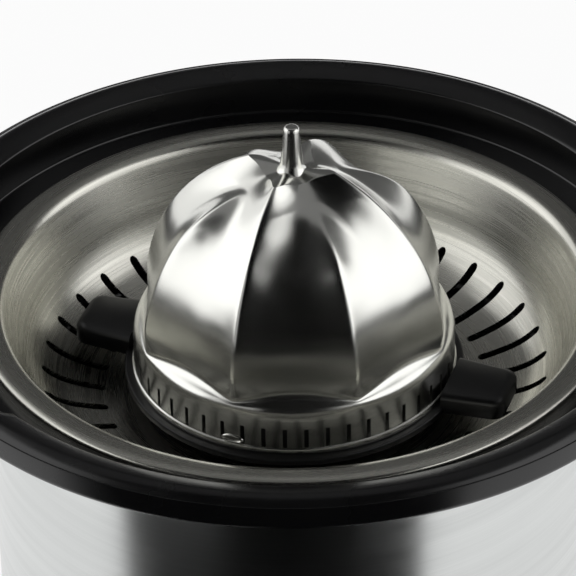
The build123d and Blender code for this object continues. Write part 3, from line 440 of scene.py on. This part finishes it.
def buildSkirt(low, foot):
    slotTop = foot - reamer["slotDrop"]
    slotLow = slotTop - reamer["slotH"]
    lipTop = low + reamer["lipH"]
    side = reamer["skirtR"]
    out = side + reamer["lip"]
    levels = [(low + up, out - tuck) for up, tuck in reamer["lipFoot"]]
    levels += [(lipTop - down, out - tuck) for down, tuck in reamer["lipHead"]]
    slotRow = len(levels)
    levels += [(slotLow + reamer["slotTuck"], side), (slotTop, side), (foot - reamer["footRoll"], side)]
    half = degrees(asin(reamer["slotW"] / 2 / side))
    pitch = 360 / reamer["slots"]
    offs = (-half - reamer["slotSide"], -half, half, half + reamer["slotSide"])
    slotEdge = offs.index(-half)
    turns = [pitch * (k + 0.5) + reamer["ribPhase"] + off for k in range(reamer["slots"]) for off in offs]

    def point(r, i, j):
        angle = radians(turns[j % len(turns)])
        return r * cos(angle), r * sin(angle), levels[i][0]

    verts, faces = piercedShell(lambda i, j: point(levels[i][1], i, j),
                                lambda i, j: point(side - reamer["skirtWall"], i, j), len(levels), len(turns),
                                lambda i, j: i == slotRow and j % len(offs) == slotEdge)
    dressPiece("reamerSkirt", verts, faces, "reamer", "reamer_cone", polishedStainless)


tab = {"wide": 2.4, "tall": 0.8, "bead": 0.35, "lift": 2.6, "around": 40, "section": 10}


def buildSkirtTab():  # pressed oval under the first rib
    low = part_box("reamer_cone")[0][2] / mm
    verts = []
    for j in range(tab["around"]):
        turn = 2 * pi * j / tab["around"]
        for k in range(tab["section"]):
            lean = 2 * pi * k / tab["section"]
            grow = tab["bead"] * cos(lean)
            across = (tab["wide"] + grow) * cos(turn)
            angle = radians(reamer["ribPhase"]) + across / reamer["skirtR"]
            r = reamer["skirtR"] + tab["bead"] * sin(lean)
            up = low + tab["lift"] + (tab["tall"] + grow) * sin(turn)
            verts.append((r * cos(angle), r * sin(angle), up))
    faces = ringFaces(tab["around"], tab["section"])
    dressPiece("skirtTab", verts, faces, "reamer", "reamer_cone", polishedStainless)


pin = {"tenonR": 1.8, "flareR": 3.7, "baseR": 2.7, "flareH": 1.6, "tipR": 1.75, "height": 11.6, "round": 1.1,
       "axisR": 0.01, "segments": 64}


def buildCentrePin():
    low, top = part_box("centre_pin")[0][2] / mm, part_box("centre_pin")[1][2] / mm
    seat = top - pin["height"]
    outline = rounded([(pin["axisR"], low, 0), (pin["tenonR"], low, 0), (pin["tenonR"], seat, 0),
                       (pin["flareR"], seat, 0), (pin["baseR"], seat + pin["flareH"], 1.0),
                       (pin["tipR"], top, pin["round"]), (pin["axisR"], top, 0)])
    verts, faces = spun(outline, pin["segments"])
    dressPiece("centrePin", verts, faces, "reamer", "centre_pin", polishedStainless)


buildReamer()
buildSkirtTab()
buildCentrePin()
print("reamer built")


# strainer

strainer = {
    "sheet": 0.8, "rim": 6.6, "crown": 3.1, "lip": 3.0, "wall": 8.1, "fall": 16.3, "slope": 5.5,
    "depth": 27.5, "edge": 2.5, "sweep": 9.5, "bend": 8.0, "holeR": 16.5, "collar": 8.0, "slots": 36,
    "slotW": 2.2, "slotMargin": 0.7, "slotTurn": 1.5, "slotStep": 1.0, "endSteps": 6, "seam": 0.02,
    "rowGap": 0.05, "spread": [-0.5, -0.34, -0.2, 0, 0, 0.2, 0.34],
}


def buildStrainer():
    size = strainer
    rim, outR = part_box("strainer")[1][2] / mm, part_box("strainer")[1][0] / mm
    t = size["sheet"]
    half = size["slotW"] / 2
    flat = rim - size["depth"]
    wallR = outR - size["rim"]
    floorR = wallR - size["wall"]
    flatR = floorR - size["fall"]
    slotIn, slotOut = flatR + size["slotMargin"], floorR - size["slotMargin"]
    collarR = size["holeR"] + t
    curve = rounded([(outR, rim - size["lip"], 0), (outR, rim, size["crown"]), (wallR, rim, size["edge"]),
                     (floorR, flat + size["slope"], size["sweep"]), (flatR, flat, size["bend"]),
                     (collarR, flat, 1.2), (collarR, flat + size["collar"], 0)], closed=False, steps=10)

    def levelAt(r):
        for (r0, z0), (r1, z1) in zip(curve, curve[1:]):
            if r1 <= r <= r0 and r0 > r1 and r < wallR:
                return z0 + (z1 - z0) * (r0 - r) / (r0 - r1)

    ends = [half * (1 - cos(pi / 2 * k / size["endSteps"])) for k in range(size["endSteps"] + 1)]
    steps = int((slotOut - slotIn - 2 * half) / size["slotStep"])
    inner = [slotOut - half - size["slotStep"] * k for k in range(1, steps)]
    slotRs = [slotOut - e for e in ends] + inner + [slotIn + e for e in reversed(ends)]
    outerPart = [p for p in curve if p[0] > slotOut + size["rowGap"]]
    innerPart = [p for p in curve if p[0] < slotIn - size["rowGap"]]
    line = outerPart + [(r, levelAt(r)) for r in slotRs] + innerPart
    firstRow = len(outerPart)
    lastRow = firstRow + len(slotRs) - 1
    backs = []
    for i, (r, z) in enumerate(line):
        before, after = line[max(i - 1, 0)], line[min(i + 1, len(line) - 1)]
        run = Vector((after[0] - before[0], after[1] - before[1])).normalized()
        backs.append((r - run.y * t, z + run.x * t))
    pitch = 360 / size["slots"]
    offs = [pitch * share for share in size["spread"]]
    slotEdge = size["spread"].index(0)  # the two zeros are the sides of a slot
    cols = size["slots"] * len(offs)

    def slotHalf(r):
        e = min(slotOut - r, r - slotIn)
        return max(size["seam"], half if e >= half else sqrt(max(0.0, half * half - (half - e) ** 2)))

    def point(skin, i, j):
        k = j % len(offs)
        turn = pitch * (j // len(offs)) + size["slotTurn"] + offs[k]
        if k in (slotEdge, slotEdge + 1):
            wide = slotHalf(line[i][0]) if firstRow <= i <= lastRow else size["seam"]
            turn += (-1 if k == slotEdge else 1) * degrees(wide / line[i][0])
        r, z = skin[i]
        return r * cos(radians(turn)), r * sin(radians(turn)), z

    verts, faces = piercedShell(
        lambda i, j: point(line, i, j), lambda i, j: point(backs, i, j), len(line), cols,
        lambda i, j: firstRow <= i < lastRow and j % len(offs) == slotEdge)
    dressPiece("strainerDish", verts, faces, "strainer", "strainer", brushedStrainer)


buildStrainer()
print("strainer built")


# juice bowl

bowl = {
    "edgeGap": 0.05, "overhang": 23.95, "wall": 2.2, "floor": 2.5, "rimTop": 6.4, "rimFace": 5.2,
    "rimWidth": 9.1, "crestIn": 4.0, "crestRise": 1.6, "roll": 4.1, "rollTurn": 48.0, "rollSteps": 10,
    "groove": 0.45, "lipDrop": 0.2, "lipRise": 0.1, "edgeTop": 0.3, "edgeFall": 1.0, "edgeDraft": 0.5,
    "flare": 8.0, "flareH": 5.0, "ledge": 3.0, "ledgeIn": 21.5, "ledgeFall": 9.0, "shoulder": 12.0,
    "shoulderIn": 20.0, "chimneyR": 13.0, "chimneyWall": 2.0, "chimneyDrop": 16.0, "chimneyLip": 6.0,
    "drainR": 6.0, "drainWall": 2.0, "drainY": -50.0, "drainDrop": 6.0, "drainLap": 0.5,
    "notchTurn": -141.0, "notchWidth": 7.0, "notchDepth": 1.8, "notchLift": 0.5, "notchReach": 1.5,
    "segments": 360, "drainSegments": 48,
}


def buildBowl():
    size = bowl
    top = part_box("juice_bowl")[1][2] / mm
    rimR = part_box("juice_bowl")[1][0] / mm - size["edgeGap"]  # the faceted CAD rim is narrower one way
    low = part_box("juice_bowl")[0][2] / mm + size["drainDrop"]
    rim = top - size["rimTop"]
    face = top - size["rimFace"]
    outR = rimR - size["overhang"]
    inR = outR - size["wall"]
    innerR = rimR - size["rimWidth"]
    ledge = rim - size["ledge"]
    shoulder = rim - size["shoulder"]
    floor = low + size["floor"]
    crestR = rimR - size["crestIn"]
    turns = [radians(size["rollTurn"] * k / size["rollSteps"]) for k in range(size["rollSteps"], -1, -1)]
    crest = top + size["crestRise"]
    roll = [(crestR + size["roll"] * sin(a), crest - size["roll"] * (1 - cos(a)), 0) for a in turns]
    grooveR, grooveZ = roll[0][:2]
    groove = size["groove"]
    chimneyOut = size["chimneyR"] + size["chimneyWall"]
    roofIn = size["chimneyR"] - size["chimneyLip"]
    roof = rim - size["chimneyDrop"]
    outline = rounded([
        (size["chimneyR"], low, 0.3), (outR, low, 4.0), (outR, shoulder, 0.2),
        (rimR - size["shoulderIn"], shoulder, 0.5), (rimR - size["flare"], face - size["flareH"], 4.0),
        (rimR, face, 1.1), (rimR, grooveZ - size["lipDrop"], 1.2),
        (grooveR + 2 * groove, grooveZ + size["lipRise"], 0.4), (grooveR + groove, grooveZ - groove, 0.3),
        *roll, (innerR, top - size["edgeTop"], 1.0), (innerR, top - size["edgeFall"], 0.3),
        (innerR - size["edgeDraft"], ledge, 0.8), (rimR - size["ledgeIn"], ledge, 1.2),
        (inR, ledge - size["ledgeFall"], 4.0), (inR, floor, 4.0), (chimneyOut, floor, 2.0),
        (chimneyOut, roof, 1.0), (roofIn, roof, 0.4),
        (roofIn, roof - size["wall"], 0.2), (size["chimneyR"], roof - size["wall"], 0.3)])
    verts, faces = spun(outline, size["segments"])
    half = degrees(size["notchWidth"] / 2 / innerR)
    notchR = innerR + size["notchDepth"]
    cut = []
    for x, y, z in verts:
        r = hypot(x, y)
        off = abs((degrees(atan2(y, x)) - size["notchTurn"] + 180) % 360 - 180)
        if off < half and ledge + size["notchLift"] < z and innerR - size["notchReach"] < r < notchR:
            x, y = x * notchR / r, y * notchR / r
        cut.append((x, y, z))
    dressPiece("juiceBowl", cut, faces, "bowl", "juice_bowl", satinAbs)
    drainOut = size["drainR"] + size["drainWall"]
    tube = rounded([(size["drainR"], low - size["drainDrop"], 0.3), (drainOut, low - size["drainDrop"], 0.6),
                    (drainOut, low + size["drainLap"], 0), (size["drainR"], low + size["drainLap"], 0)])
    verts, faces = spun(tube, size["drainSegments"])
    verts = [(x, y + size["drainY"], z) for x, y, z in verts]
    dressPiece("bowlDrain", verts, faces, "bowl", "juice_bowl", satinAbs)


buildBowl()
print("bowl built")


# steel sleeve

sleeve = {"wall": 1.0, "edge": 0.4, "edgeStep": 0.15, "edgeTuck": 0.25, "stepTuck": 0.06, "windowHalf": 12.05,
          "windowGap": 0.05, "columns": 288}


def buildSleeve():
    low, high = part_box("steel_sleeve")[0][2] / mm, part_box("steel_sleeve")[1][2] / mm
    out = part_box("steel_sleeve")[1][0] / mm
    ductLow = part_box("spout_duct")[0][2] / mm - sleeve["windowGap"]
    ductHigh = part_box("spout_duct")[1][2] / mm + sleeve["windowGap"]
    levels = [low, low + sleeve["edgeStep"], low + sleeve["edge"], (low + ductLow) / 2, ductLow, ductHigh,
              high - sleeve["edge"], high - sleeve["edgeStep"], high]
    tuck = {0: sleeve["edgeTuck"], 1: sleeve["stepTuck"], len(levels) - 2: sleeve["stepTuck"],
            len(levels) - 1: sleeve["edgeTuck"]}
    windowRow = levels.index(ductLow)
    front = -90  # the spout's side, in degrees
    window = degrees(asin(sleeve["windowHalf"] / out))
    step = (360 - 2 * window) / sleeve["columns"]
    turns = [front + window * share for share in (-1, -0.5, 0, 0.5)]
    windowCols = len(turns)
    turns += [front + window + step * k for k in range(sleeve["columns"])]

    def point(r, i, j):
        angle = radians(turns[j % len(turns)])
        r -= tuck.get(i, 0) if r == out else 0
        return r * cos(angle), r * sin(angle), levels[i]

    verts, faces = piercedShell(lambda i, j: point(out, i, j), lambda i, j: point(out - sleeve["wall"], i, j),
                                len(levels), len(turns), lambda i, j: i == windowRow and j < windowCols)
    dressPiece("steelSleeve", verts, faces, "base", "steel_sleeve", brushedSleeve)


buildSleeve()
print("sleeve built")


# sweeper carrier with its paddles

carrier = {
    "skirtR": 36.15, "wall": 2.0, "ringR": 40.0, "ringH": 1.8, "plate": 3.0, "hubR": 9.0, "hubDraft": 1.0,
    "hubDrop": 1.0, "hubH": 26.0, "socketR": 5.37, "socketDepth": 24.0, "paddleTurn": -19.0,
    "paddleEnd": 53.0, "rootW": 17.0, "endW": 15.0, "paddleH": 5.4, "round": 3.0, "roundLoss": 0.5,
    "leastRound": 0.6, "rootLap": 1.6, "cornerSteps": 8, "plateGap": 0.05, "axisR": 0.01, "segments": 192,
    "paddleFoot": [(0.0, 0.7), (0.25, 0.2), (0.7, 0.0)],
    "paddleHead": [(1.5, 0.0), (0.8, 0.25), (0.3, 0.75), (0.0, 1.6)],
}


def buildCarrier():
    size = carrier
    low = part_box("sweeper_carrier")[0][2] / mm
    ringTop = low + size["ringH"]
    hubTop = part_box("sweeper_carrier")[1][2] / mm
    hubLow = hubTop - size["hubH"]
    plateLow = hubLow + size["hubDrop"]
    plateTop = plateLow + size["plate"] - size["plateGap"]
    wallIn = size["skirtR"] - size["wall"]
    outline = rounded([
        (size["socketR"], hubLow, 0.3), (size["hubR"], hubLow, 0.6), (size["hubR"], plateLow, 0.8),
        (wallIn, plateLow, 1.5), (wallIn, low, 0.3), (size["ringR"], low, 0.5), (size["ringR"], ringTop, 0.6),
        (size["skirtR"], ringTop, 0.2), (size["skirtR"], plateTop, 0.3), (size["hubR"], plateTop, 1.0),
        (size["hubR"] - size["hubDraft"], hubTop, 0.8), (size["axisR"], hubTop, 0),
        (size["axisR"], hubLow + size["socketDepth"], 0),
        (size["socketR"], hubLow + size["socketDepth"], 0)])
    verts, faces = spun(outline, size["segments"])
    dressPiece("sweeperCarrier", verts, faces, "reamer", "sweeper_carrier", mattAbs)
    for side in (0, 180):
        buildPaddle(low, size["paddleTurn"] + side)


def buildPaddle(low, turn):
    size = carrier
    root = size["ringR"] - size["rootLap"]
    layers = size["paddleFoot"] + [(size["paddleH"] - down, inset) for down, inset in size["paddleHead"]]
    quarter = [pi / 2 * k / size["cornerSteps"] for k in range(size["cornerSteps"] + 1)]
    c, s = cos(radians(turn)), sin(radians(turn))
    verts = []
    for z, inset in layers:
        end = size["paddleEnd"] - inset
        wide = size["endW"] / 2 - inset
        rootWide = size["rootW"] / 2 - inset
        corner = max(size["leastRound"], size["round"] - inset * size["roundLoss"])
        ring = [(root, -rootWide)]
        ring += [(end - corner + corner * sin(a), -wide + corner - corner * cos(a)) for a in quarter]
        ring += [(end - corner + corner * cos(a), wide - corner + corner * sin(a)) for a in quarter]
        ring.append((root, rootWide))
        verts += [(x * c - y * s, x * s + y * c, low + z) for x, y in ring]
    faces = ringFaces(len(layers), len(ring), closed=False) + endFaces(len(layers), len(ring))
    name = "paddleRight" if turn < 90 else "paddleLeft"
    dressPiece(name, verts, faces, "reamer", "sweeper_carrier", mattAbs)


buildCarrier()
print("carrier built")


# return spring, hidden in the body: the real one closes up as the reamer is pressed, this one is built at one
# length only

spring = {"wireR": 0.4, "turns": 4.5, "press": 2.0, "around": 32, "section": 12}


def buildSpring():
    low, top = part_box("return_spring")[0][2] / mm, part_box("return_spring")[1][2] / mm
    wireR = spring["wireR"]
    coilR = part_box("return_spring")[1][0] / mm - wireR
    steps = int(spring["turns"] * spring["around"])
    verts = []
    for j in range(steps + 1):
        angle = 2 * pi * j / spring["around"]
        middle = low + wireR + (top - low - 2 * wireR) * j / steps
        for k in range(spring["section"]):
            lean = 2 * pi * k / spring["section"]
            r = coilR + wireR * cos(lean)
            verts.append((r * cos(angle), r * sin(angle), middle + wireR * sin(lean)))
    faces = ringFaces(steps + 1, spring["section"], closed=False) + endFaces(steps + 1, spring["section"])
    piece = dressPiece("returnSpring", verts, faces, "base", "return_spring", zincSteel)
    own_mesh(piece)


buildSpring()
print("spring built")


# studio: white paper, a softbox at each side, felt hung round for the steel to mirror

studio = {
    "distance": 950.0, "elevation": 34.29, "roll": 0.8, "focalPixels": 4076.0, "imagePixels": 576.0,
    "centrePixel": (293.5, 289.2), "sensor": 36.0, "farthest": 50, "boxTone": 0.42, "boxSize": (1.0, 0.75),
    "boxDistance": 0.95, "boxLift": 24.0, "leftTurn": -94.0, "rightTurn": 78.0, "spaceTone": 0.85,
    "paper": "#EEEEEE", "paperHalf": 4, "paperGlow": 0.86,
}
tent = {
    "radius": 1.6, "height": 2.1, "wingH": 1.4, "topR": 0.001, "bodyR": 0.085, "groundZ": 0.001,
    "backLow": 0.3, "steps": 24, "nap": 2.0, "napDark": 0.8, "napLight": 1.2,
    "felts": {"blackFelt": "#060606", "greyFelt": "#8A8A8A", "dimFelt": "#585858", "paleFelt": "#B8B8B8"},
    "cloths": {  # from and to in degrees from the front, then which stretch of the tent, in which felt
        "floorCloth": (-59, 41.5, "ground", "blackFelt"), "frontCloth": (-27, 23, "wall", "blackFelt"),
        "frontRoof": (-85, 75, "roof", "blackFelt"), "leftWing": (-64, -27, "wall", "paleFelt"),
        "rightWing": (23, 46, "wall", "paleFelt"), "wingTops": (-64, 46, "upper", "blackFelt"),
        "backCloth": (112, 217, "rear", "dimFelt"), "backRoof": (75, 275, "roof", "greyFelt"),
    },
}


def placeCamera(aim):
    rise = radians(studio["elevation"])
    back = Vector((0, -cos(rise), sin(rise)))
    up = Vector((0, sin(rise), cos(rise)))
    scale = studio["distance"] / studio["focalPixels"] * mm  # metres a pixel at the strainer
    offX = studio["centrePixel"][0] - studio["imagePixels"] / 2
    offY = studio["centrePixel"][1] - studio["imagePixels"] / 2
    centre = aim - Vector((1, 0, 0)) * offX * scale + up * offY * scale
    lens = bpy.data.cameras.new("photoCamera")
    lens.sensor_width = studio["sensor"]
    lens.lens = studio["sensor"] * studio["focalPixels"] / studio["imagePixels"]
    lens.clip_end = studio["farthest"]
    camera = addObject("photoCamera", lens)
    camera.location = centre + back * studio["distance"] * mm
    level = (-back).to_track_quat("-Z", "Y")
    camera.rotation_euler = (level @ Quaternion((0, 0, 1), -radians(studio["roll"]))).to_euler()
    bpy.context.scene.camera = camera


def hangBoxes(aim):  # the two softboxes
    wide, tall = studio["boxSize"]
    for name, turn in (("leftBox", studio["leftTurn"]), ("rightBox", studio["rightTurn"])):
        light = bpy.data.lights.new(name, "AREA")
        light.shape = "RECTANGLE"
        light.size, light.size_y = wide, tall
        light.energy = studio["boxTone"] * pi * wide * tall
        box = addObject(name, light)
        across, high = radians(turn), radians(studio["boxLift"])
        toward = Vector((sin(across) * cos(high), -cos(across) * cos(high), sin(high)))
        box.location = aim + toward * studio["boxDistance"]
        box.rotation_euler = (-toward).to_track_quat("-Z", "Y").to_euler()
        box.visible_camera = False


def makeFelt(name, colour):  # felt, brushed: a dull cloth with a fine nap
    material, tree = startMaterial(name)
    place = addNode(tree, "ShaderNodeTexCoord")
    nap = addNode(tree, "ShaderNodeTexNoise", {
        "Vector": place.outputs["Object"], "Scale": 1000 / tent["nap"]})
    tone = addNode(tree, "ShaderNodeMapRange", {
        "Value": nap.outputs["Fac"], "To Min": tent["napDark"], "To Max": tent["napLight"]})
    base = addNode(tree, "ShaderNodeVectorMath", {0: toLinear(colour)[:3], "Scale": tone.outputs["Result"]},
                   operation="SCALE")
    endMaterial(tree, addNode(tree, "ShaderNodeBsdfDiffuse", {"Color": base.outputs["Vector"]}))
    return material


def hangCloth(name, first, last, profile, material):  # a profile swept round, seen by the steel alone
    steps = tent["steps"]
    verts, count = [], len(profile)
    for k in range(steps + 1):
        across = radians(first + (last - first) * k / steps)
        verts += [(r * sin(across), -r * cos(across), z) for r, z in profile]
    faces = [(k * count + i, k * count + i + 1, (k + 1) * count + i + 1, (k + 1) * count + i)
             for k in range(steps) for i in range(count - 1)]
    mesh = bpy.data.meshes.new(name)
    mesh.from_pydata(verts, [], faces)
    mesh.materials.append(material)
    cloth = addObject(name, mesh)
    cloth.visible_camera = cloth.visible_diffuse = cloth.visible_shadow = False


def hangTent():
    far, height, wingH = tent["radius"], tent["height"], tent["wingH"]
    felts = {name: makeFelt(name, colour) for name, colour in tent["felts"].items()}
    stretches = {
        "ground": [(tent["bodyR"], tent["groundZ"]), (far, tent["groundZ"])],
        "wall": [(far, 0.0), (far, wingH)], "upper": [(far, wingH), (far, height)],
        "rear": [(far, tent["backLow"]), (far, height)], "roof": [(far, height), (tent["topR"], height)],
    }
    for name, (first, last, stretch, felt) in tent["cloths"].items():
        hangCloth(name, first, last, stretches[stretch], felts[felt])


def shownRay(tree):  # 1 where the lens, a mirror or a glass looks, 0 where light is gathered
    path = addNode(tree, "ShaderNodeLightPath")
    seen = addNode(tree, "ShaderNodeMath", {
        0: path.outputs["Is Camera Ray"], 1: path.outputs["Is Glossy Ray"]}, operation="MAXIMUM")
    return addNode(tree, "ShaderNodeMath", {
        0: seen.outputs["Value"], 1: path.outputs["Is Transmission Ray"]}, operation="MAXIMUM")


def paintSpace():  # white where it shows, a little dimmer where it lights the object
    world = bpy.data.worlds.new("studioSpace")
    bpy.context.scene.world = world
    world.use_nodes = True
    tree = world.node_tree
    tree.nodes.clear()
    shown = shownRay(tree)
    tone = addNode(tree, "ShaderNodeMapRange", {
        "Value": shown.outputs["Value"], "To Min": studio["spaceTone"], "To Max": 1.0})
    sky = addNode(tree, "ShaderNodeBackground", {"Color": (1, 1, 1, 1), "Strength": tone.outputs["Result"]})
    addNode(tree, "ShaderNodeOutputWorld", {"Surface": sky.outputs["Background"]})


def makePaper():  # white paper, matt: bright to the lens, and it keeps the object's shadow
    material, tree = startMaterial("paperSweep")
    shown = shownRay(tree)
    share = addNode(tree, "ShaderNodeMapRange", {
        "Value": shown.outputs["Value"], "To Max": studio["paperGlow"]})
    matte = addNode(tree, "ShaderNodeBsdfDiffuse", {"Color": toLinear(studio["paper"])})
    glow = addNode(tree, "ShaderNodeEmission", {"Color": (1, 1, 1, 1), "Strength": 1.0})
    blend = addNode(tree, "ShaderNodeMixShader", {
        0: share.outputs["Result"], 1: matte.outputs["BSDF"], 2: glow.outputs["Emission"]})
    addNode(tree, "ShaderNodeOutputMaterial", {"Surface": blend.outputs["Shader"]})
    return material


def layPaper():
    half = studio["paperHalf"]
    corners = [(-half, -half, 0), (half, -half, 0), (half, half, 0), (-half, half, 0)]
    mesh = bpy.data.meshes.new("studioFloor")
    mesh.from_pydata(corners, [], [(0, 1, 2, 3)])
    mesh.materials.append(makePaper())
    addObject("studioFloor", mesh)


strainerRim = Vector((0, 0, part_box("strainer")[1][2]))
placeCamera(strainerRim)
hangBoxes(strainerRim)
hangTent()
paintSpace()
layPaper()
bpy.context.scene.view_settings.view_transform = "Standard"
print("studio set")
